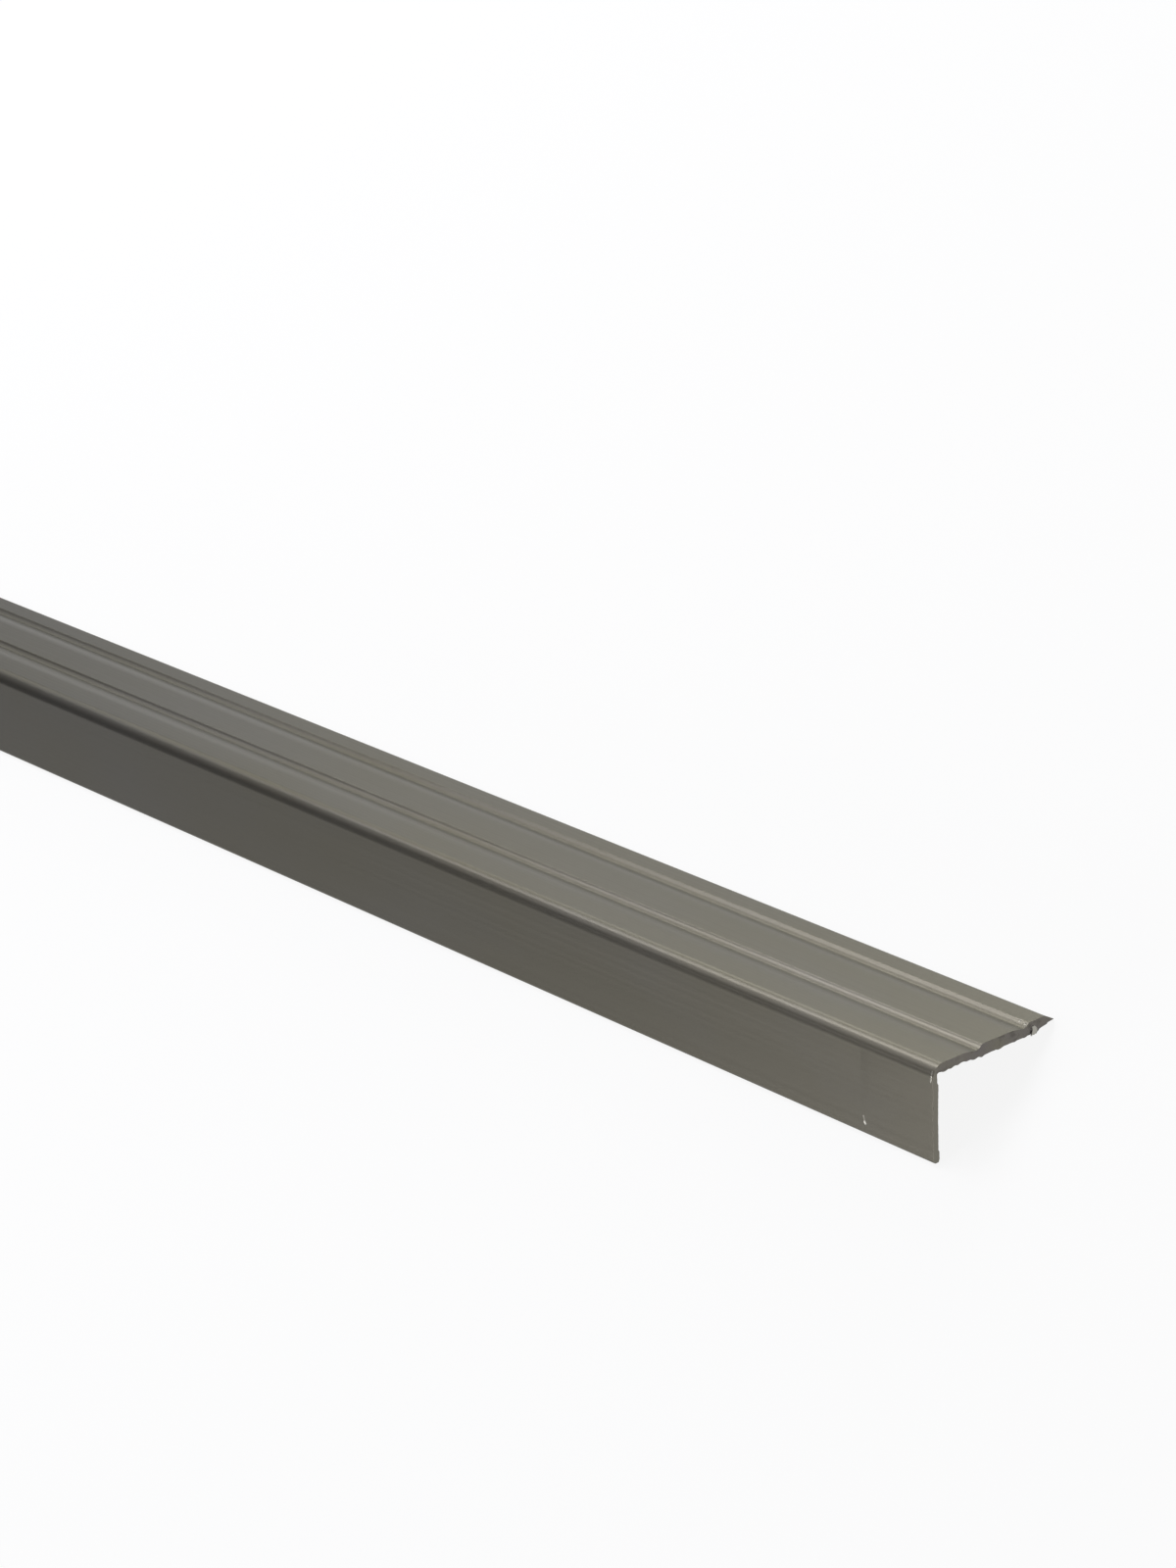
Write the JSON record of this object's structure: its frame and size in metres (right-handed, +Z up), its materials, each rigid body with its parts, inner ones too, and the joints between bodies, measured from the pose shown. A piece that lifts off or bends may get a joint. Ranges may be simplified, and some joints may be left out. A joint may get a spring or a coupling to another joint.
{
  "type": "corner profile",
  "caption": "Aluminium corner profile with a grooved top leg, rounded nose and plain front leg, fitted over the edge of a step or board to protect and finish it.",
  "frame": {"origin": "centre of the bar's bounding box at floor level, as it lies like a tent on its toe and its lip", "axes": "+X along the bar towards the sawn end shown in the picture, +Z up from the floor, -Y towards the front leg, +Y towards the bevelled lip"},
  "size_m": [1, 0.0288, 0.013],
  "materials": {
    "aluminium": "satin, anodised dark grey with a touch of olive, with fine die lines along the bar and sawn ends"
  },
  "bodies": {
    "root": {"corner_profile": "aluminium"}
  },
  "joints": []
}
